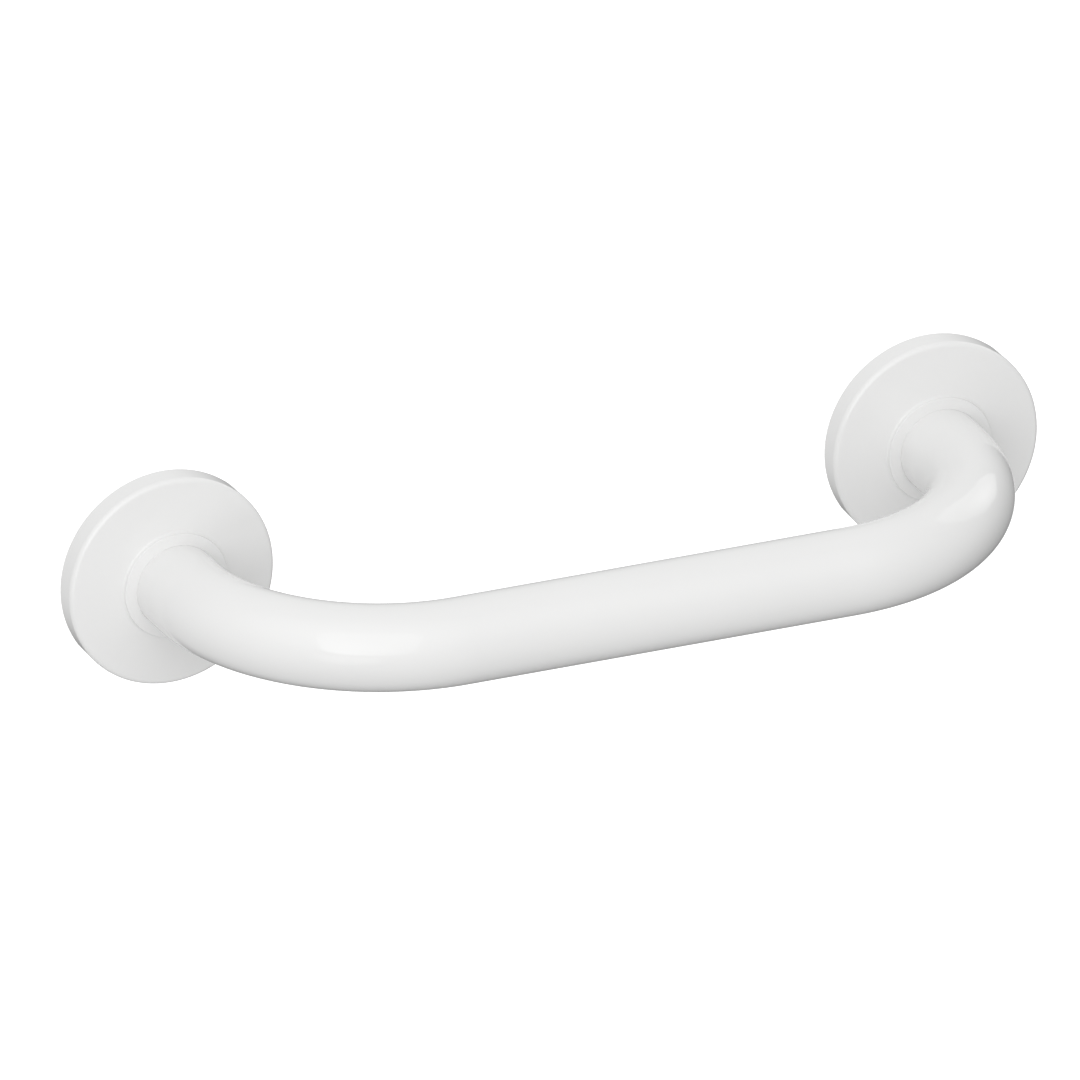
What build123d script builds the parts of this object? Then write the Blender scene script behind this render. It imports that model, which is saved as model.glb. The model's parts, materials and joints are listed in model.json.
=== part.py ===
from build123d import *
import os

# Grab bar for a bath or shower, in millimetres.
# X runs along the bar, the wall is the plane Y = 0, the bar stands out towards -Y and Z is up.
# The origin lies on the wall, midway between the two fixings.

# Bent tube
fixing_centres = 300  # between the axes of the two legs
tube_diameter = 32
tube_wall = 1.5
bend_radius = 74  # at the middle of the tube
leg_run = 10.75  # straight tube that shows between a cover and its bend
tube_setback = 1  # from the wall to the end of the tube, inside the plate

# Fixing plate, welded round each end of the tube
plate_thickness = 4
plate_chamfer = 1  # on both edges of the rim
weld_leg = 3
screw_count = 4
screw_hole = 5.5
screw_head = 10.4  # across the countersunk head
countersink_angle = 90

# Moulded cover, pushed over the plate
cover_diameter = 80
cover_wall = 2
rim_height = 9.75  # from the wall to the corner where rim and face would meet
rim_rounding = 2  # of that corner
back_rounding = 0.6  # of the edge that meets the wall
face_rise = 2.35  # of the shallow cone from the rim to the foot of the neck
neck_wall = 4  # from the bore to the outside of the neck
neck_step = 1.55  # side of the neck, from the cone to its front
neck_rise = 0.6  # of the neck's front, from its side to the bore
neck_cove = 1  # hollow rounding where the neck stands on the cone
neck_chamfer = 0.15  # on the edges of the neck

# Ribs inside the cover that grip the plate
rib_count = 8
rib_height = 1.8  # from the inside of the rim to the plate's rim
rib_width = 1.6
rib_overhang = 3  # over the front of the plate
rib_foot = 0.3  # from the wall to the hook of each rib

# Clearances
weld_fit = 0.1  # plate round tube
slide_fit = 0.1  # cover round tube
snap_fit = 0.2  # ribs round plate

# Sizes that follow from those above
leg_x = fixing_centres / 2
tube_radius = tube_diameter / 2

cover_radius = cover_diameter / 2
cover_bore = tube_radius + slide_fit
neck_radius = cover_bore + neck_wall
rim_inside = cover_radius - cover_wall
neck_inside = neck_radius - cover_wall
neck_foot = rim_height + face_rise
neck_shoulder = neck_foot + neck_step
cover_depth = neck_shoulder + neck_rise

plate_bore = tube_radius + weld_fit
plate_radius = rim_inside - rib_height - snap_fit
weld_toe = tube_radius + weld_leg
screw_circle = (weld_toe + plate_radius) / 2

wall_to_axis = cover_depth + leg_run + bend_radius


def face_height(radius):
    """Height of the cover's conical face above the wall."""
    return rim_height + face_rise * (cover_radius - radius) / (cover_radius - neck_radius)


def neck_height(radius):
    """Height of the neck's sloping front above the wall."""
    return neck_shoulder + neck_rise * (neck_radius - radius) / neck_wall


os.makedirs("parts", exist_ok=True)

# One tube, swept along the two legs, the two bends and the grip
with BuildPart() as bar_tube:
    with BuildLine() as centre_line:
        FilletPolyline(
            (-leg_x, -tube_setback),
            (-leg_x, -wall_to_axis),
            (leg_x, -wall_to_axis),
            (leg_x, -tube_setback),
            radius=bend_radius,
        )
    with BuildSketch(Plane(origin=centre_line.line @ 0, z_dir=centre_line.line % 0)):
        Circle(tube_radius)
        Circle(tube_radius - tube_wall, mode=Mode.SUBTRACT)
    sweep()
bar_tube.part.label = "bar_tube"
export_step(bar_tube.part, "parts/bar_tube.step")

# The same plate and cover at the foot of each leg
for side, foot in (("left", -leg_x), ("right", leg_x)):
    wall_plane = Plane(origin=(foot, 0, 0), x_dir=(1, 0, 0), z_dir=(0, -1, 0))
    leg_axis = Axis(origin=(foot, 0, 0), direction=(0, -1, 0))
    # Drawn as distance from the leg's axis against height above the wall
    section = Plane(origin=(foot, 0, 0), x_dir=(1, 0, 0), z_dir=(0, 0, -1))

    with BuildPart() as fixing_plate:
        with BuildSketch(section):
            with BuildLine():
                Polyline(
                    (plate_bore, 0),
                    (plate_radius, 0),
                    (plate_radius, plate_thickness),
                    (weld_toe, plate_thickness),
                    (plate_bore, plate_thickness + weld_leg),
                    close=True,
                )
            make_face()
            chamfer(vertices().group_by(Axis.X)[-1], plate_chamfer)
        revolve(axis=leg_axis)
        with Locations(wall_plane.offset(plate_thickness)):
            with PolarLocations(screw_circle, screw_count):
                CounterSinkHole(screw_hole / 2, screw_head / 2, plate_thickness, countersink_angle)
    fixing_plate.part.label = f"{side}_fixing_plate"
    export_step(fixing_plate.part, f"parts/{side}_fixing_plate.step")

    with BuildPart() as cover:
        rim_corner = (cover_radius, rim_height)
        rim_back = (cover_radius, 0)
        cove_corner = (neck_radius, neck_foot)
        shoulder_corner = (neck_radius, neck_shoulder)
        mouth_corner = (cover_bore, cover_depth)
        with BuildSketch(section):
            with BuildLine():
                Polyline(
                    (rim_inside, 0),
                    rim_back,
                    rim_corner,
                    cove_corner,
                    shoulder_corner,
                    mouth_corner,
                    (cover_bore, cover_depth - cover_wall),
                    (neck_inside, neck_height(neck_inside) - cover_wall),
                    (neck_inside, face_height(neck_inside) - cover_wall),
                    (rim_inside, face_height(rim_inside) - cover_wall),
                    close=True,
                )
            make_face()
            fillet(vertices().sort_by_distance(rim_corner)[0], rim_rounding)
            fillet(vertices().sort_by_distance(rim_back)[0], back_rounding)
            fillet(vertices().sort_by_distance(cove_corner)[0], neck_cove)
            for corner in (shoulder_corner, mouth_corner):
                chamfer(vertices().sort_by_distance(corner)[0], neck_chamfer)
        revolve(axis=leg_axis)

        # Each rib is a gusset that starts halfway into the wall of the cover.
        # Room for the plate is cut out of it, which leaves a hook behind the plate's chamfered rim.
        rib_start = rim_inside + cover_wall / 2
        rib_end = plate_radius - rib_overhang
        room_radius = plate_radius + snap_fit
        room_height = plate_thickness + snap_fit
        with BuildSketch(Plane.XZ) as rib_side:
            with BuildLine():
                Polyline(
                    (rib_start, rib_foot),
                    (rib_start, face_height(rib_start) - cover_wall),
                    (rim_inside, face_height(rim_inside) - cover_wall / 2),
                    (rib_end, face_height(rib_end) - cover_wall / 2),
                    (rib_end, rib_foot),
                    close=True,
                )
            make_face()
            with BuildLine():
                Polyline(
                    (0, 0),
                    (room_radius - plate_chamfer, 0),
                    (room_radius, plate_chamfer),
                    (room_radius, room_height),
                    (0, room_height),
                    close=True,
                )
            make_face(mode=Mode.SUBTRACT)
        rib = extrude(rib_side.sketch, rib_width / 2, both=True, mode=Mode.PRIVATE)
        with Locations(wall_plane):
            with PolarLocations(0, rib_count, start_angle=180 / rib_count):
                add(rib)
    cover.part.label = f"{side}_cover"
    export_step(cover.part, f"parts/{side}_cover.step")
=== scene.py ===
import json
import math

import bmesh
import bpy
from bpy.props import FloatProperty, FloatVectorProperty, IntProperty, PointerProperty
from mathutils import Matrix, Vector


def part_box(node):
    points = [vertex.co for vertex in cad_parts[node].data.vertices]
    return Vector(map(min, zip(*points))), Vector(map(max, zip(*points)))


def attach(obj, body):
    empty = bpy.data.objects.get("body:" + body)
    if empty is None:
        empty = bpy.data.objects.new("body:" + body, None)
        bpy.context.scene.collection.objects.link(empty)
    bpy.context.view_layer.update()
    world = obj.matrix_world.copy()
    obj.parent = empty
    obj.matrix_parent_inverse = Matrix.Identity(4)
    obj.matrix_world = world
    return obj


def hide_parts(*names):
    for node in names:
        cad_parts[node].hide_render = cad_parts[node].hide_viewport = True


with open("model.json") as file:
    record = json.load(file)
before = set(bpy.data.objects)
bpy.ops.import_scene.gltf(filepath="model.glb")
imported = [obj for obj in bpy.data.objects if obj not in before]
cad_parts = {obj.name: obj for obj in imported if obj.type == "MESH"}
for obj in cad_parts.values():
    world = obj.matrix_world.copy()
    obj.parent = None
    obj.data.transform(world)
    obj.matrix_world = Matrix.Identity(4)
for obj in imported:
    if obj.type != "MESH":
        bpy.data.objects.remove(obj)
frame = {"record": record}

# White grab bar for a bath or shower, in metres.
# X runs along the bar, the wall is the plane Y = 0, the bar stands out towards -Y and Z is up.
# A bent tube is welded into two round fixing plates, and a moulded cover hides each plate.

bl_info = {
    "name": "Grab Bar",
    "version": (1, 0, 0),
    "blender": (4, 5, 0),
    "location": "3D View > Sidebar > Grab Bar",
    "description": "Builds a white bath grab bar on its CAD frame, and a stage to show it on",
    "category": "Object",
}

MM = 0.001
FULL_TURN = 2 * math.pi
QUARTER_BACK = (-FULL_TURN / 4, 0, 0)
DOWN = Vector((0, 0, -1))

# Points of a turned section and of a finished piece that lie closer than this become one
SECTION_MERGE = 0.002 * MM
PIECE_MERGE = 0.001 * MM
# Edges of the covers and plates that turn by more than this stay sharp
SHARP_ANGLE = math.radians(35)

# Where light comes from: degrees from straight in front of the wall, and degrees above the horizon
FRONT_GLOW_FROM = (-30, 45)
BACK_GLOW_FROM = (160, 20)
LOW_GLOW_FROM = (-37, -8)
LOW_SHADE_FROM = (135, -32)
FRONT_SOFTBOX_FROM = (-28, 32)
SIDE_SOFTBOX_FROM = (114, 28.5)

# Where the softboxes show in the bends, as shares of the way to a leg's axis and out to the grip's
BEND_ACROSS = 0.83
BEND_OUT = 0.92
# Share of the way to a softbox's edge at which its light starts to fade
SOFTBOX_EDGE = 0.97
SOFTBOX_DISTANCE = 4
CAMERA_DISTANCE = 1.5
FLOOR_WIDTH = 12

# Sizes that the frame gives
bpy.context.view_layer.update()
tube_low, tube_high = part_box("bar_tube")
cover_low, cover_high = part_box("right_cover")
plate_low, plate_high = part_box("right_fixing_plate")
tube_radius = (tube_high.z - tube_low.z) / 2
tube_setback = -tube_high.y
leg_x = tube_high.x - tube_radius
wall_to_axis = -tube_low.y - tube_radius
cover_radius = (cover_high.z - cover_low.z) / 2
cover_depth = -cover_low.y
plate_radius = (plate_high.z - plate_low.z) / 2
weld_height = -plate_low.y
feet = {"left": -leg_x, "right": leg_x}


def slot_colour(slot):
    """Base colour of one of the record's material slots."""
    for material in frame["record"]["materials"]:
        if material["slot"] == slot:
            return tuple(material["base_color"])
    raise ValueError(f"the record has no material slot {slot}")


def number(name, default, description, **limits):
    """A number that a user may change."""
    return FloatProperty(name=name, description=description, default=default, **limits)


def length(name, default, description):
    """A length that a user may change."""
    return number(name, default, description, min=0, precision=5, unit="LENGTH")


def shift(name, default, description):
    """A distance to either side that a user may change."""
    return number(name, default, description, precision=5, unit="LENGTH")


def share(name, default, description):
    """A number from 0 to 1 that a user may change."""
    return number(name, default, description, min=0, max=1, subtype="FACTOR")


def light(name, default, description):
    """A level of light that a user may change. Under a level of 1 all round, white shows as white."""
    return number(name, default, description, min=0)


def angle(name, default, description):
    """An angle that a user may change."""
    return number(name, default, description, subtype="ANGLE")


def colour(name, default, description):
    """A colour that a user may change."""
    look = {"min": 0, "max": 1, "subtype": "COLOR"}
    return FloatVectorProperty(name=name, description=description, default=default, **look)


def count(name, default, description):
    """A whole number that a user may change."""
    return IntProperty(name=name, description=description, default=default, min=1)


class TubeSettings(bpy.types.PropertyGroup):
    """Sizes of the bent tube."""

    radius: length("Radius", tube_radius, "Outside radius of the tube")
    wall: length("Wall", 1.5 * MM, "Thickness of the tube's wall")
    bend_radius: length("Bend Radius", 74 * MM, "Radius of the two bends, at the middle of the tube")
    lip: length("Lip", 0.4 * MM, "Rounding of the tube's two ends")
    lip_steps: count("Lip Steps", 3, "Faces over each rounded edge of the tube's ends")
    bend_steps: count("Bend Steps", 72, "Points along each bend")
    round_steps: count("Round Steps", 144, "Faces round the tube")


class CoverSettings(bpy.types.PropertyGroup):
    """Sizes of the moulded covers."""

    radius: length("Radius", cover_radius, "Outside radius of the cover")
    wall: length("Wall", 2 * MM, "Thickness of the cover's wall")
    rim_height: length("Rim Height", 9.75 * MM, "Height of the corner where the rim meets the face")
    rim_rounding: length("Rim Rounding", 2 * MM, "Rounding of that corner")
    back_rounding: length("Back Rounding", 0.6 * MM, "Rounding of the edge that meets the wall")
    face_rise: length("Face Rise", 2.35 * MM, "Rise of the shallow cone from the rim to the neck")
    neck_wall: length("Neck Wall", 4 * MM, "Distance from the bore to the outside of the neck")
    neck_step: length("Neck Step", 1.55 * MM, "Height of the neck's side above the cone")
    neck_cove: length("Neck Cove", 1 * MM, "Hollow rounding where the neck stands on the cone")
    edge_rounding: length("Edge Rounding", 0.2 * MM, "Rounding of the cover's small edges")
    mouth_rounding: length("Mouth Rounding", 0.02 * MM, "Rounding of the edge at the mouth of the neck")
    slide_fit: length("Slide Fit", 0.1 * MM, "Clearance round the tube inside the neck")
    lip_fit: length("Lip Fit", 0.01 * MM, "Clearance round the tube at the mouth of the neck")
    rib_count: count("Ribs", 8, "Ribs inside the cover that grip the plate")
    rib_width: length("Rib Width", 1.6 * MM, "Thickness of a rib")
    rib_overhang: length("Rib Overhang", 3 * MM, "Reach of a rib over the front of the plate")
    rib_foot: length("Rib Foot", 0.3 * MM, "Height of a rib's hook above the wall")
    snap_fit: length("Snap Fit", 0.2 * MM, "Clearance between the ribs and the plate")
    corner_steps: count("Corner Steps", 5, "Points on each rounded corner")
    round_steps: count("Round Steps", 240, "Faces round the cover")


class PlateSettings(bpy.types.PropertyGroup):
    """Sizes of the fixing plates."""

    radius: length("Radius", plate_radius, "Outside radius of the plate")
    thickness: length("Thickness", 4 * MM, "Thickness of the plate")
    chamfer: length("Chamfer", 1 * MM, "Chamfer on both edges of the rim")
    edge_rounding: length("Edge Rounding", 0.15 * MM, "Rounding of the plate's edges")
    weld_fit: length("Weld Fit", 0.1 * MM, "Clearance round the tube")
    screw_count: count("Screw Holes", 4, "Countersunk holes in the plate")
    screw_hole: length("Screw Hole", 2.75 * MM, "Radius of a screw hole")
    screw_head: length("Screw Head", 5.2 * MM, "Radius of a countersink at the face of the plate")
    corner_steps: count("Corner Steps", 2, "Points on each rounded corner")
    hole_steps: count("Hole Steps", 48, "Faces round a screw hole")
    round_steps: count("Round Steps", 144, "Faces round the plate")


class FinishSettings(bpy.types.PropertyGroup):
    """Colours and gloss of the finishes."""

    coat: colour("Coat", slot_colour("white_coat"), "Colour of the coat on the tube and the plates")
    coat_roughness: share("Coat Roughness", 0.02, "Roughness of the coat")
    plastic: colour("Plastic", slot_colour("white_plastic"), "Colour of the moulded covers")
    plastic_roughness: share("Plastic Roughness", 0.03, "Roughness of the moulded covers")


class StageSettings(bpy.types.PropertyGroup):
    """Camera, floor and light."""

    azimuth: angle("Azimuth", math.radians(-23.64), "Camera's heading from straight in front of the wall")
    elevation: angle("Elevation", math.radians(24.0), "Height of the camera above the horizon")
    frame_width: length("Frame Width", 388.5 * MM, "Width of the picture at the object")
    aim_right: shift("Aim Right", -1.33 * MM, "Sideways place of the picture's middle")
    aim_up: shift("Aim Up", -13.05 * MM, "Upward place of the picture's middle")
    floor_drop: length("Floor Drop", 0.5, "Depth of the floor below the middle of the bar")
    room_light: light("Room Light", 0.6, "Light from all round")
    front_glow: light("Front Glow", 0.54, "Light added high at the front")
    back_glow: light("Back Glow", 0.27, "Light added behind the bar")
    low_glow: light("Low Glow", 0.9, "Light added below the front softbox, as from a floor that it lights")
    low_shade: light("Low Shade", 0.58, "Light taken away low on the right")
    front_softbox: light("Front Softbox", 0.6, "Light of the large softbox at the front")
    side_softbox: light("Side Softbox", 0.62, "Light of the softbox on the right")


class GrabBarSettings(bpy.types.PropertyGroup):
    """Everything that a user may change."""

    tube: PointerProperty(type=TubeSettings)
    cover: PointerProperty(type=CoverSettings)
    plate: PointerProperty(type=PlateSettings)
    finish: PointerProperty(type=FinishSettings)
    stage: PointerProperty(type=StageSettings)


class Signal:
    """An output socket. Arithmetic on it adds Math nodes to its tree."""

    def __init__(self, nodes, socket):
        self.nodes = nodes
        self.socket = socket

    def other(self, name):
        """Another output of the same node."""
        return Signal(self.nodes, self.socket.node.outputs[name])

    def maths(self, operation, first, second):
        """A Math node in the same tree."""
        return self.nodes.add("ShaderNodeMath", {"operation": operation}, {0: first, 1: second})

    def __add__(self, value):
        return self.maths("ADD", self, value)

    __radd__ = __add__

    def __sub__(self, value):
        return self.maths("SUBTRACT", self, value)

    def __rsub__(self, value):
        return self.maths("SUBTRACT", value, self)

    def __mul__(self, value):
        return self.maths("MULTIPLY", self, value)

    __rmul__ = __mul__

    def __truediv__(self, value):
        return self.maths("DIVIDE", self, value)

    def __rtruediv__(self, value):
        return self.maths("DIVIDE", value, self)


class Nodes:
    """Adds nodes to one tree, of shaders or of geometry."""

    def __init__(self, tree):
        self.tree = tree

    def add(self, kind, settings=None, inputs=None, output=0):
        """Adds a node: its settings first, then a value or a link for each socket that is named."""
        node = self.tree.nodes.new(kind)
        for name, value in (settings or {}).items():
            if name == "items":
                while len(node.index_switch_items) < value:
                    node.index_switch_items.new()
            else:
                setattr(node, name, value)
        for key, value in (inputs or {}).items():
            links = value if isinstance(value, list) else [value]
            for link in links:
                if isinstance(link, Signal):
                    self.tree.links.new(link.socket, node.inputs[key])
                else:
                    node.inputs[key].default_value = link
        return Signal(self, node.outputs[output]) if node.outputs else None

    def blend(self, factor, first, second):
        """A colour between two colours."""
        sockets = {0: factor, 6: first, 7: second}
        return self.add("ShaderNodeMix", {"data_type": "RGBA"}, sockets, output=2)

    def vector(self, operation, *values):
        """A Vector Math node that gives a vector."""
        return self.add("ShaderNodeVectorMath", {"operation": operation}, dict(enumerate(values)))

    def measure(self, operation, *values):
        """A Vector Math node that gives a number."""
        return self.vector(operation, *values).other("Value")


def empty_nodes(owner):
    """The nodes of a material, a lamp or a world, with none in them yet."""
    owner.use_nodes = True
    owner.node_tree.nodes.clear()
    return Nodes(owner.node_tree)


def geometry_tree(name, inputs):
    """A geometry tree with named inputs, and a Signal for each of them."""
    tree = bpy.data.node_groups.new(name, "GeometryNodeTree")
    tree.interface.new_socket("Geometry", in_out="OUTPUT", socket_type="NodeSocketGeometry")
    for label, kind in inputs.items():
        tree.interface.new_socket(label, in_out="INPUT", socket_type=f"NodeSocket{kind}")
    nodes = Nodes(tree)
    source = tree.nodes.new("NodeGroupInput")
    return nodes, {label: Signal(nodes, source.outputs[label]) for label in inputs}


def close_tree(nodes, geometry, material):
    """Ends a geometry tree in plain faces of one material."""
    plain = nodes.add("GeometryNodeRealizeInstances", inputs={"Geometry": geometry})
    coloured = nodes.add("GeometryNodeSetMaterial", inputs={"Geometry": plain, "Material": material})
    nodes.add("NodeGroupOutput", inputs={"Geometry": coloured})


def bent_tube_tree():
    """The tube's outside: a circle swept along two legs, two bends and the grip."""
    nodes, sizes = geometry_tree(
        "Bent Tube",
        {
            "Leg X": "Float",
            "Setback": "Float",
            "Wall To Axis": "Float",
            "Bend Radius": "Float",
            "Tube Radius": "Float",
            "Bend Steps": "Int",
            "Round Steps": "Int",
            "Material": "Material",
        },
    )
    ends = ((-1, "Setback"), (-1, "Wall To Axis"), (1, "Wall To Axis"), (1, "Setback"))
    corners = {}
    for order, (side, reach) in enumerate(ends):
        place = {"X": sizes["Leg X"] * side, "Y": sizes[reach] * -1}
        corners[str(order)] = nodes.add("ShaderNodeCombineXYZ", inputs=place)
    corners["Index"] = nodes.add("GeometryNodeInputIndex")
    switch = {"data_type": "VECTOR", "items": len(ends)}
    corner = nodes.add("GeometryNodeIndexSwitch", switch, corners)
    line = nodes.add("GeometryNodeMeshLine", inputs={"Count": len(ends)})
    bent = nodes.add("GeometryNodeSetPosition", inputs={"Geometry": line, "Position": corner})
    route = nodes.add("GeometryNodeMeshToCurve", inputs={"Mesh": bent})
    bends = {"Curve": route, "Count": sizes["Bend Steps"], "Radius": sizes["Bend Radius"]}
    centre_line = nodes.add("GeometryNodeFilletCurve", {"mode": "POLY"}, bends)
    ring = {"Resolution": sizes["Round Steps"], "Radius": sizes["Tube Radius"]}
    circle = nodes.add("GeometryNodeCurvePrimitiveCircle", inputs=ring)
    swept = nodes.add("GeometryNodeCurveToMesh", inputs={"Curve": centre_line, "Profile Curve": circle})
    close_tree(nodes, swept, sizes["Material"])
    return nodes.tree


def turned(nodes, section, turn_radius, steps, corner_steps):
    """A section with rounded corners, turned about Z. Its X is a radius and its Y a depth."""
    loop = nodes.add("GeometryNodeMeshToCurve", inputs={"Mesh": section})
    rounding = nodes.add("GeometryNodeInputNamedAttribute", {"data_type": "FLOAT"}, {"Name": "rounding"})
    corners = {"Curve": loop, "Count": corner_steps, "Radius": rounding}
    outline = nodes.add("GeometryNodeFilletCurve", {"mode": "POLY"}, corners)
    inward = nodes.add("ShaderNodeCombineXYZ", inputs={"X": turn_radius * -1})
    profile = nodes.add("GeometryNodeSetPosition", inputs={"Geometry": outline, "Offset": inward})
    round_path = {"Resolution": steps, "Radius": turn_radius}
    ring = nodes.add("GeometryNodeCurvePrimitiveCircle", inputs=round_path)
    swept = nodes.add("GeometryNodeCurveToMesh", inputs={"Curve": ring, "Profile Curve": profile})
    return nodes.add("GeometryNodeMergeByDistance", inputs={"Geometry": swept, "Distance": SECTION_MERGE})


def part_of_section(nodes, section, name):
    """The loops of a section that carry a mark, and the rest."""
    mark = nodes.add("GeometryNodeInputNamedAttribute", {"data_type": "BOOLEAN"}, {"Name": name})
    marked = nodes.add("GeometryNodeSeparateGeometry", inputs={"Geometry": section, "Selection": mark})
    return marked, marked.other("Inverted")


def polar_copies(nodes, geometry, copies, offset):
    """Copies about Z. The offset is the first copy's share of a step."""
    points = nodes.add("GeometryNodeMeshLine", inputs={"Count": copies, "Offset": (0, 0, 0)})
    step = (nodes.add("GeometryNodeInputIndex") + offset) * FULL_TURN / copies
    turn = nodes.add("FunctionNodeAxisAngleToRotation", inputs={"Axis": (0, 0, 1), "Angle": step})
    placed = {"Points": points, "Instance": geometry, "Rotation": turn}
    ring = nodes.add("GeometryNodeInstanceOnPoints", inputs=placed)
    return nodes.add("GeometryNodeRealizeInstances", inputs={"Geometry": ring})


def stand_on_wall(nodes, geometry, foot_x):
    """Turns a piece's depth towards -Y, out of the wall, and moves it to its leg."""
    foot = nodes.add("ShaderNodeCombineXYZ", inputs={"X": foot_x})
    placed = {"Geometry": geometry, "Translation": foot, "Rotation": QUARTER_BACK}
    return nodes.add("GeometryNodeTransform", inputs=placed)


def cover_tree():
    """A moulded cover: a turned shell, and ribs that grip the plate."""
    nodes, sizes = geometry_tree(
        "Moulded Cover",
        {
            "Section": "Geometry",
            "Foot X": "Float",
            "Turn Radius": "Float",
            "Round Steps": "Int",
            "Corner Steps": "Int",
            "Ribs": "Int",
            "Rib Width": "Float",
            "Material": "Material",
        },
    )
    rib_loop, shell_loop = part_of_section(nodes, sizes["Section"], "rib")
    shell = turned(nodes, shell_loop, sizes["Turn Radius"], sizes["Round Steps"], sizes["Corner Steps"])
    outline = nodes.add("GeometryNodeMeshToCurve", inputs={"Mesh": rib_loop})
    side = nodes.add("GeometryNodeFillCurve", {"mode": "NGONS"}, {"Curve": outline})
    walls = {"Mesh": side, "Offset": (0, 0, 1), "Offset Scale": sizes["Rib Width"], "Individual": False}
    solid = nodes.add("GeometryNodeExtrudeMesh", {"mode": "FACES"}, walls)
    other_side = nodes.add("GeometryNodeFlipFaces", inputs={"Mesh": side})
    rib = nodes.add("GeometryNodeJoinGeometry", inputs={"Geometry": [solid, other_side]})
    half = nodes.add("ShaderNodeCombineXYZ", inputs={"Y": sizes["Rib Width"] * -0.5})
    upright = {"Geometry": rib, "Translation": half, "Rotation": QUARTER_BACK}
    rib = nodes.add("GeometryNodeTransform", inputs=upright)
    ribs = polar_copies(nodes, rib, sizes["Ribs"], offset=0.5)
    both = nodes.add("GeometryNodeJoinGeometry", inputs={"Geometry": [shell, ribs]})
    placed = stand_on_wall(nodes, both, sizes["Foot X"])
    close_tree(nodes, placed, sizes["Material"])
    return nodes.tree


def plate_tree():
    """A fixing plate: a turned disc with its weld, less a ring of countersunk holes."""
    nodes, sizes = geometry_tree(
        "Fixing Plate",
        {
            "Section": "Geometry",
            "Foot X": "Float",
            "Turn Radius": "Float",
            "Round Steps": "Int",
            "Corner Steps": "Int",
            "Holes": "Int",
            "Hole Circle": "Float",
            "Hole Steps": "Int",
            "Material": "Material",
        },
    )
    hole_loop, disc_loop = part_of_section(nodes, sizes["Section"], "hole")
    disc = turned(nodes, disc_loop, sizes["Turn Radius"], sizes["Round Steps"], sizes["Corner Steps"])
    drill = turned(nodes, hole_loop, sizes["Hole Circle"], sizes["Hole Steps"], sizes["Corner Steps"])
    out = nodes.add("ShaderNodeCombineXYZ", inputs={"X": sizes["Hole Circle"]})
    drill = nodes.add("GeometryNodeTransform", inputs={"Geometry": drill, "Translation": out})
    drills = polar_copies(nodes, drill, sizes["Holes"], offset=0)
    cut = {"operation": "DIFFERENCE", "solver": "EXACT"}
    drilled = nodes.add("GeometryNodeMeshBoolean", cut, {"Mesh 1": disc, "Mesh 2": drills})
    placed = stand_on_wall(nodes, drilled, sizes["Foot X"])
    close_tree(nodes, placed, sizes["Material"])
    return nodes.tree


def section_mesh(name, loops):
    """Closed loops of (distance from the axis, height above the wall, rounding), each under its mark."""
    corners = []
    edges = []
    for loop in loops.values():
        first = len(corners)
        corners += loop
        edges += [(first + i, first + (i + 1) % len(loop)) for i in range(len(loop))]
    mesh = bpy.data.meshes.new(name)
    mesh.from_pydata([(x, y, 0) for x, y, rounding in corners], edges, [])
    roundings = mesh.attributes.new("rounding", "FLOAT", "POINT")
    roundings.data.foreach_set("value", [rounding for x, y, rounding in corners])
    for mark, loop in loops.items():
        flags = mesh.attributes.new(mark, "BOOLEAN", "POINT")
        flags.data.foreach_set("value", [corner in loop for corner in corners])
    return mesh


def settle(piece):
    """Turns an object and its modifiers into a plain mesh."""
    depsgraph = bpy.context.evaluated_depsgraph_get()
    mesh = bpy.data.meshes.new_from_object(piece.evaluated_get(depsgraph))
    mesh.name = piece.name
    piece.modifiers.clear()
    piece.data = mesh


def grown(name, mesh, tree, values):
    """A plain mesh object that a geometry tree makes from a mesh."""
    piece = bpy.data.objects.new(name, mesh)
    bpy.context.scene.collection.objects.link(piece)
    modifier = piece.modifiers.new(tree.name, "NODES")
    modifier.node_group = tree
    for item in tree.interface.items_tree:
        if item.in_out == "INPUT" and item.name in values:
            modifier[item.identifier] = values[item.name]
    settle(piece)
    return piece


def smooth(piece, sharp_angle):
    """Closes a mesh, points its faces outwards and smooths it up to an angle."""
    form = bmesh.new()
    form.from_mesh(piece.data)
    bmesh.ops.remove_doubles(form, verts=form.verts, dist=PIECE_MERGE)
    bmesh.ops.recalc_face_normals(form, faces=form.faces)
    form.to_mesh(piece.data)
    form.free()
    piece.data.shade_smooth()
    piece.data.set_sharp_from_angle(angle=sharp_angle)


def weigh_normals(piece):
    """Lets broad faces set the shading, so that it turns only over the small roundings."""
    modifier = piece.modifiers.new("Weighted Normal", "WEIGHTED_NORMAL")
    modifier.keep_sharp = True
    settle(piece)


def hand_over(piece, node):
    """Puts a finished piece in the place of its CAD node."""
    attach(piece, "root")
    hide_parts(node)


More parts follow.
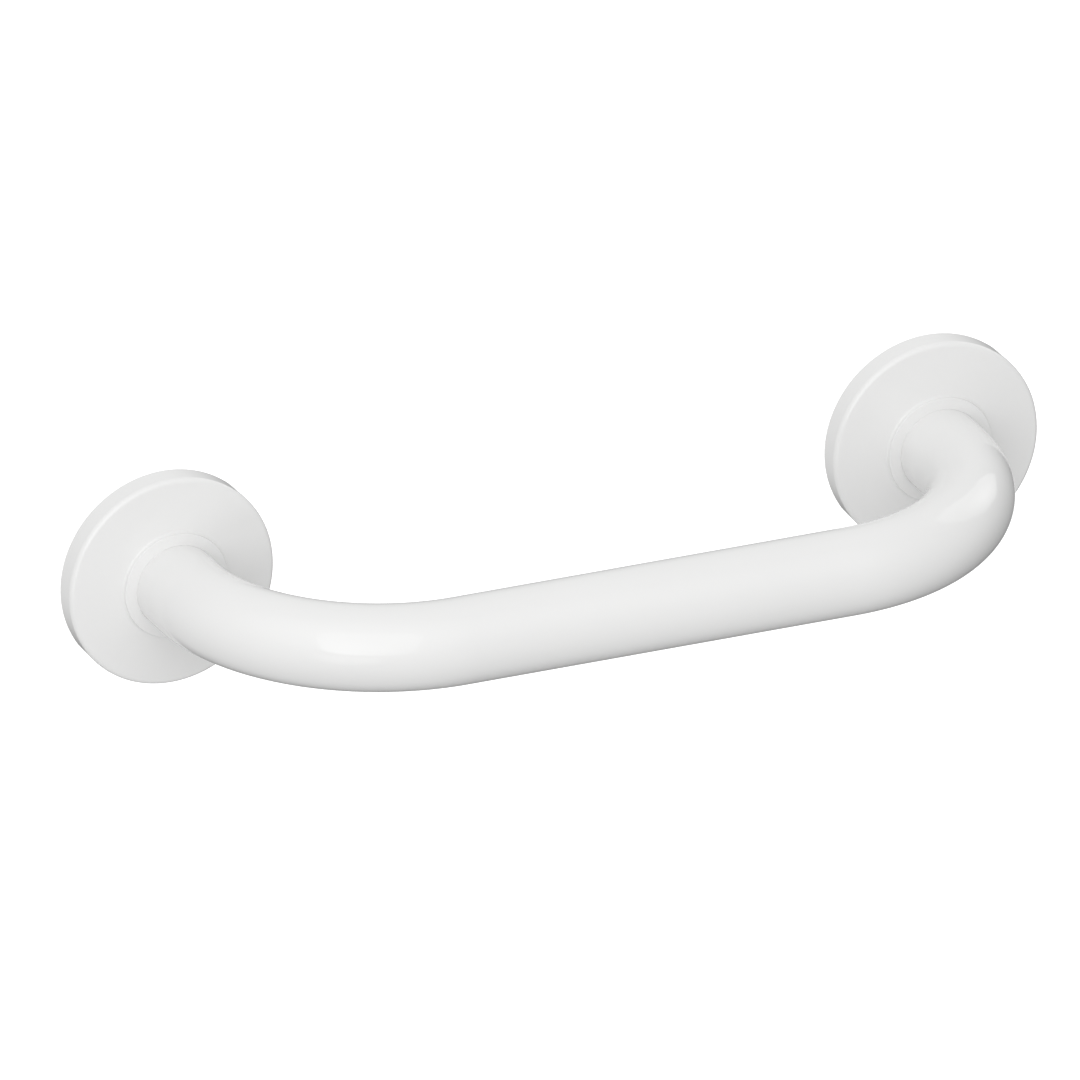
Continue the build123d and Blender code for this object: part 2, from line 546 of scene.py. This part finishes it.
def gloss_finish(name, colour_value, roughness, peel_size, peel_depth, cloud_size):
    """A glossy white finish with faint clouds of tone and gloss, and a faintly uneven skin."""
    material = bpy.data.materials.new(name)
    nodes = empty_nodes(material)
    place = nodes.add("ShaderNodeTexCoord", output="Object")
    clouds = {"Vector": place, "Scale": 1 / cloud_size, "Detail": 3, "Roughness": 0.55}
    cloud = nodes.add("ShaderNodeTexNoise", inputs=clouds)
    unevenness = {"Vector": place, "Scale": 1 / peel_size, "Detail": 1, "Roughness": 0.4}
    peel = nodes.add("ShaderNodeTexNoise", inputs=unevenness)
    darkest = 0.97
    pale = (*colour_value, 1)
    shade = (*(darkest * level for level in colour_value), 1)
    tone = nodes.blend(cloud, pale, shade)
    skin = nodes.add("ShaderNodeBump", inputs={"Strength": 1, "Distance": peel_depth, "Height": peel})
    glossiest = 0.75 * roughness
    dullest = 1.25 * roughness
    surface = nodes.add(
        "ShaderNodeBsdfPrincipled",
        inputs={
            "Base Color": tone,
            "Roughness": glossiest + cloud * (dullest - glossiest),
            "Normal": skin,
            "IOR": 1.5,
        },
    )
    nodes.add("ShaderNodeOutputMaterial", inputs={"Surface": surface})
    return material


def finish_of(slot):
    """The material of one of the record's slots, made when it is first asked for."""
    name = f"{slot}_finish"
    made = bpy.data.materials.get(name)
    if made:
        return made
    settings = bpy.context.scene.grab_bar.finish
    if slot == "white_coat":
        return gloss_finish(
            name,
            settings.coat,
            settings.coat_roughness,
            peel_size=1.4 * MM,
            peel_depth=0.0006 * MM,
            cloud_size=45 * MM,
        )
    return gloss_finish(
        name,
        settings.plastic,
        settings.plastic_roughness,
        peel_size=0.5 * MM,
        peel_depth=0.0003 * MM,
        cloud_size=30 * MM,
    )


class GRABBAR_OT_tube(bpy.types.Operator):
    """Sweep the bent tube and give it its wall and its lips"""

    bl_idname = "grab_bar.tube"
    bl_label = "Bent Tube"

    def execute(self, context):
        sizes = context.scene.grab_bar.tube
        tube = grown(
            "bent_tube",
            bpy.data.meshes.new("bent_tube"),
            bent_tube_tree(),
            {
                "Leg X": leg_x,
                "Setback": tube_setback,
                "Wall To Axis": wall_to_axis,
                "Bend Radius": sizes.bend_radius,
                "Tube Radius": sizes.radius,
                "Bend Steps": sizes.bend_steps,
                "Round Steps": sizes.round_steps,
                "Material": finish_of("white_coat"),
            },
        )
        smooth(tube, math.pi)
        wall = tube.modifiers.new("Wall", "SOLIDIFY")
        wall.thickness = sizes.wall
        wall.offset = -1
        lips = tube.modifiers.new("Lips", "BEVEL")
        lips.width = sizes.lip
        lips.segments = sizes.lip_steps
        lips.limit_method = "ANGLE"
        settle(tube)
        weigh_normals(tube)
        hand_over(tube, "bar_tube")
        return {"FINISHED"}


def cover_loops(sizes, plate):
    """The section of a cover's shell and of one of its ribs."""
    bore = tube_radius + sizes.slide_fit
    neck = bore + sizes.neck_wall
    rim_inside = sizes.radius - sizes.wall
    neck_inside = neck - sizes.wall
    foot = sizes.rim_height + sizes.face_rise
    shoulder = foot + sizes.neck_step
    small = sizes.edge_rounding
    room = plate.radius + sizes.snap_fit
    room_top = plate.thickness + sizes.snap_fit
    rib_start = rim_inside + sizes.wall / 2
    rib_end = plate.radius - sizes.rib_overhang

    def face(radius):
        return sizes.rim_height + sizes.face_rise * (sizes.radius - radius) / (sizes.radius - neck)

    def neck_front(radius):
        return shoulder + (cover_depth - shoulder) * (neck - radius) / sizes.neck_wall

    shell = [
        (rim_inside, 0, small),
        (sizes.radius, 0, sizes.back_rounding),
        (sizes.radius, sizes.rim_height, sizes.rim_rounding),
        (neck, foot, sizes.neck_cove),
        (neck, shoulder, small),
        (tube_radius + sizes.lip_fit, cover_depth, sizes.mouth_rounding),
        (bore, cover_depth - sizes.wall, small),
        (neck_inside, neck_front(neck_inside) - sizes.wall, small),
        (neck_inside, face(neck_inside) - sizes.wall, small),
        (rim_inside, face(rim_inside) - sizes.wall, small),
    ]
    rib = [
        (rib_start, sizes.rib_foot, 0),
        (rib_start, face(rib_start) - sizes.wall, 0),
        (rib_end, face(rib_end) - sizes.wall / 2, 0),
        (rib_end, room_top, 0),
        (room, room_top, 0),
        (room, plate.chamfer, 0),
        (room - plate.chamfer + sizes.rib_foot, sizes.rib_foot, 0),
    ]
    return {"shell": shell, "rib": rib}


class GRABBAR_OT_covers(bpy.types.Operator):
    """Turn the two moulded covers and set the ribs inside them"""

    bl_idname = "grab_bar.covers"
    bl_label = "Moulded Covers"

    def execute(self, context):
        settings = context.scene.grab_bar
        sizes = settings.cover
        tree = cover_tree()
        for side, foot_x in feet.items():
            name = f"{side}_moulded_cover"
            cover = grown(
                name,
                section_mesh(name, cover_loops(sizes, settings.plate)),
                tree,
                {
                    "Foot X": foot_x,
                    "Turn Radius": sizes.radius,
                    "Round Steps": sizes.round_steps,
                    "Corner Steps": sizes.corner_steps,
                    "Ribs": sizes.rib_count,
                    "Rib Width": sizes.rib_width,
                    "Material": finish_of("white_plastic"),
                },
            )
            smooth(cover, SHARP_ANGLE)
            weigh_normals(cover)
            hand_over(cover, f"{side}_cover")
        return {"FINISHED"}


def plate_loops(sizes):
    """The section of a fixing plate with its weld, and of the tool that cuts a screw hole."""
    bore = tube_radius + sizes.weld_fit
    weld_leg = weld_height - sizes.thickness
    rim = sizes.radius
    top = sizes.thickness
    edge = sizes.chamfer
    small = sizes.edge_rounding
    countersink = sizes.screw_head - sizes.screw_hole
    # The tool passes both faces of the plate by this much
    past = 1 * MM
    disc = [
        (bore, 0, small),
        (rim - edge, 0, small),
        (rim, edge, small),
        (rim, top - edge, small),
        (rim - edge, top, small),
        (tube_radius + weld_leg, top, small),
        (bore, top + weld_leg, small),
    ]
    hole = [
        (0, -past, 0),
        (sizes.screw_hole, -past, 0),
        (sizes.screw_hole, top - countersink, 0),
        (sizes.screw_head, top, 0),
        (sizes.screw_head, top + past, 0),
        (0, top + past, 0),
    ]
    return {"disc": disc, "hole": hole}


class GRABBAR_OT_plates(bpy.types.Operator):
    """Turn the two fixing plates and drill them"""

    bl_idname = "grab_bar.plates"
    bl_label = "Fixing Plates"

    def execute(self, context):
        sizes = context.scene.grab_bar.plate
        weld_toe = tube_radius + weld_height - sizes.thickness
        tree = plate_tree()
        for side, foot_x in feet.items():
            name = f"{side}_welded_plate"
            plate = grown(
                name,
                section_mesh(name, plate_loops(sizes)),
                tree,
                {
                    "Foot X": foot_x,
                    "Turn Radius": sizes.radius,
                    "Round Steps": sizes.round_steps,
                    "Corner Steps": sizes.corner_steps,
                    "Holes": sizes.screw_count,
                    "Hole Circle": (weld_toe + sizes.radius) / 2,
                    "Hole Steps": sizes.hole_steps,
                    "Material": finish_of("white_coat"),
                },
            )
            smooth(plate, SHARP_ANGLE)
            weigh_normals(plate)
            hand_over(plate, f"{side}_fixing_plate")
        return {"FINISHED"}


def direction_from(azimuth, elevation):
    """The direction of a heading, from straight in front of the wall, and a height above the horizon."""
    flat = math.cos(elevation)
    return Vector((math.sin(azimuth) * flat, -math.cos(azimuth) * flat, math.sin(elevation)))


def heading_of(degrees):
    """The same direction from a pair of angles in degrees."""
    azimuth, elevation = degrees
    return direction_from(math.radians(azimuth), math.radians(elevation))


def towards(nodes, direction, heading, start, end):
    """Rises smoothly from 0 to 1 as a direction turns towards a heading. Start and end are cosines."""
    facing = nodes.measure("DOT_PRODUCT", direction, heading)
    limits = {"Value": facing, "From Min": start, "From Max": end}
    return nodes.add("ShaderNodeMapRange", {"interpolation_type": "SMOOTHSTEP"}, limits)


def light_world(settings):
    """A pale room, brighter in front and behind and dim low on the right, seen as a white backdrop."""
    world = bpy.data.worlds.new("studio")
    nodes = empty_nodes(world)
    direction = nodes.add("ShaderNodeTexCoord", output="Generated")
    front = towards(nodes, direction, heading_of(FRONT_GLOW_FROM), start=0.5, end=1)
    back = towards(nodes, direction, heading_of(BACK_GLOW_FROM), start=0.3, end=1)
    below = towards(nodes, direction, DOWN, start=0, end=0.05)
    low_front = towards(nodes, direction, heading_of(LOW_GLOW_FROM), start=0.94, end=0.998) * below
    low_right = towards(nodes, direction, heading_of(LOW_SHADE_FROM), start=0.45, end=0.95)
    room = settings.room_light - low_right * settings.low_shade
    room = room + front * settings.front_glow + back * settings.back_glow
    room = room + low_front * settings.low_glow
    # Where the bar mirrors what lies straight behind it, it shows the white backdrop too
    view = -direction_from(settings.azimuth, settings.elevation)
    behind = towards(nodes, direction, view, start=0.985, end=0.995)
    path = nodes.add("ShaderNodeLightPath", output="Is Camera Ray")
    seen = path.maths("MAXIMUM", path, path.other("Is Transmission Ray"))
    seen = path.maths("MAXIMUM", seen, path.other("Is Glossy Ray") * behind)
    shown = nodes.blend(seen, room, (1, 1, 1, 1))
    background = nodes.add("ShaderNodeBackground", inputs={"Color": shown, "Strength": 1})
    nodes.add("ShaderNodeOutputWorld", inputs={"Surface": background})
    bpy.context.scene.world = world


def floor_material():
    """A pale floor that is seen as white and still takes a shadow."""
    material = bpy.data.materials.new("pale_floor")
    nodes = empty_nodes(material)
    pale = nodes.add("ShaderNodeBsdfDiffuse", inputs={"Color": (0.8, 0.8, 0.8, 1)})
    glow = nodes.add("ShaderNodeEmission", inputs={"Color": (1, 1, 1, 1), "Strength": 0.55})
    surface = nodes.add("ShaderNodeAddShader", inputs={0: pale, 1: glow})
    nodes.add("ShaderNodeOutputMaterial", inputs={"Surface": surface})
    return material


def add_floor(settings):
    """A flat floor below the bar."""
    half = FLOOR_WIDTH / 2
    corners = [(-half, -half), (half, -half), (half, half), (-half, half)]
    mesh = bpy.data.meshes.new("floor")
    mesh.from_pydata([(x, y, -settings.floor_drop) for x, y in corners], [], [(0, 1, 2, 3)])
    mesh.materials.append(floor_material())
    floor = bpy.data.objects.new("floor", mesh)
    bpy.context.scene.collection.objects.link(floor)
    # The room lights the bar from below too, so the floor only shows to the camera
    floor.visible_diffuse = False
    floor.visible_glossy = False
    floor.visible_shadow = False


def rounded_outline(nodes, reach):
    """How far out a place lies in a softbox, where 1 is the edge of a rectangle with round corners."""
    rounding = 0.225
    straight = (0.5 - rounding, 0.5 - rounding, 0)
    past = nodes.vector("SUBTRACT", reach, straight)
    past = nodes.vector("MAXIMUM", past, (0, 0, 0))
    return nodes.measure("LENGTH", past) / rounding


def octagon_outline(nodes, reach):
    """The same for an octagon that stands on one of its corners."""
    lean = FULL_TURN / 16
    along = math.cos(lean)
    across = math.sin(lean)
    flat = nodes.measure("DOT_PRODUCT", reach, (along, across, 0))
    steep = nodes.measure("DOT_PRODUCT", reach, (across, along, 0))
    return flat.maths("MAXIMUM", flat, steep) / (0.5 * along)


def softbox(name, aim, heading, size, outline, level, lamp_place, lamp_reach, lamp_level):
    """A softbox that points at one of the bends. Its lamp shows as a brighter place.

    Places in the softbox run from 0 to 1 both ways. The light falls from lamp_level to 1 over lamp_reach.
    """
    width, height = size
    box = bpy.data.lights.new(name, "AREA")
    box.shape = "RECTANGLE"
    box.size = width
    box.size_y = height
    box.energy = level * math.pi * width * height
    nodes = empty_nodes(box)
    place = nodes.add("ShaderNodeNewGeometry", output="Parametric")
    apart = nodes.measure("DISTANCE", place, lamp_place)
    fade = {"Value": apart, "From Min": 0, "From Max": lamp_reach, "To Min": lamp_level, "To Max": 1}
    glow = nodes.add("ShaderNodeMapRange", inputs=fade)
    offset = nodes.vector("SUBTRACT", place, (0.5, 0.5, 0))
    reach = nodes.vector("ABSOLUTE", offset)
    out = outline(nodes, reach)
    edge = {"Value": out, "From Min": SOFTBOX_EDGE, "From Max": 1, "To Min": 1, "To Max": 0}
    inside =nodes.add("ShaderNodeMapRange", {"interpolation_type": "SMOOTHSTEP"}, edge)
    shine = nodes.add("ShaderNodeEmission", inputs={"Color": glow * inside, "Strength": 1})
    nodes.add("ShaderNodeOutputLight", inputs={"Surface": shine})
    holder = bpy.data.objects.new(name, box)
    holder.location = aim + heading * SOFTBOX_DISTANCE
    holder.rotation_euler = heading.to_track_quat("Z", "Y").to_euler()
    holder.visible_camera = False
    bpy.context.scene.collection.objects.link(holder)


def add_softboxes(settings):
    """A large softbox at the front and a smaller one on the right, each aimed at a bend."""
    bend_x = BEND_ACROSS * leg_x
    bend_y = -BEND_OUT * wall_to_axis
    softbox(
        "front_softbox",
        aim=Vector((-bend_x, bend_y, 0)),
        heading=heading_of(FRONT_SOFTBOX_FROM),
        size=(3.16, 4.48),
        outline=rounded_outline,
        level=settings.front_softbox,
        lamp_place=(0.22, 0.09, 0),
        lamp_reach=0.7,
        lamp_level=3.1,
    )
    softbox(
        "side_softbox",
        aim=Vector((bend_x, bend_y, 0)),
        heading=heading_of(SIDE_SOFTBOX_FROM),
        size=(2.84, 2.84),
        outline=octagon_outline,
        level=settings.side_softbox,
        lamp_place=(0.5, 0.37, 0),
        lamp_reach=0.36,
        lamp_level=2.4,
    )


def add_camera(settings):
    """A camera without perspective."""
    camera = bpy.data.cameras.new("camera")
    camera.type = "ORTHO"
    camera.ortho_scale = settings.frame_width
    holder = bpy.data.objects.new("camera", camera)
    back = direction_from(settings.azimuth, settings.elevation)
    turn = back.to_track_quat("Z", "Y")
    right = turn @ Vector((1, 0, 0))
    up = turn @ Vector((0, 1, 0))
    holder.location = right * settings.aim_right + up * settings.aim_up + back * CAMERA_DISTANCE
    holder.rotation_euler = turn.to_euler()
    bpy.context.scene.collection.objects.link(holder)
    bpy.context.scene.camera = holder


class GRABBAR_OT_stage(bpy.types.Operator):
    """Set up the floor, the light and the camera"""

    bl_idname = "grab_bar.stage"
    bl_label = "Stage"

    def execute(self, context):
        settings = context.scene.grab_bar.stage
        context.scene.view_settings.view_transform = "Standard"
        add_floor(settings)
        light_world(settings)
        add_softboxes(settings)
        add_camera(settings)
        return {"FINISHED"}


class GRABBAR_PT_panel(bpy.types.Panel):
    """Lists the pieces of the grab bar and their sizes"""

    bl_idname = "GRABBAR_PT_panel"
    bl_label = "Grab Bar"
    bl_space_type = "VIEW_3D"
    bl_region_type = "UI"
    bl_category = "Grab Bar"

    def draw(self, context):
        settings = context.scene.grab_bar
        groups = (
            (settings.tube, GRABBAR_OT_tube),
            (settings.cover, GRABBAR_OT_covers),
            (settings.plate, GRABBAR_OT_plates),
            (settings.stage, GRABBAR_OT_stage),
        )
        for group, operator in groups:
            box = self.layout.box()
            for name in group.__annotations__:
                box.prop(group, name)
            box.operator(operator.bl_idname)
        box = self.layout.box()
        for name in settings.finish.__annotations__:
            box.prop(settings.finish, name)


classes = (
    TubeSettings,
    CoverSettings,
    PlateSettings,
    FinishSettings,
    StageSettings,
    GrabBarSettings,
    GRABBAR_OT_tube,
    GRABBAR_OT_covers,
    GRABBAR_OT_plates,
    GRABBAR_OT_stage,
    GRABBAR_PT_panel,
)


def register():
    for cls in classes:
        bpy.utils.register_class(cls)
    bpy.types.Scene.grab_bar = PointerProperty(type=GrabBarSettings)


def unregister():
    del bpy.types.Scene.grab_bar
    for cls in reversed(classes):
        bpy.utils.unregister_class(cls)


def main():
    register()
    bpy.ops.grab_bar.tube()
    bpy.ops.grab_bar.covers()
    bpy.ops.grab_bar.plates()
    bpy.ops.grab_bar.stage()


if __name__ == "__main__":
    main()
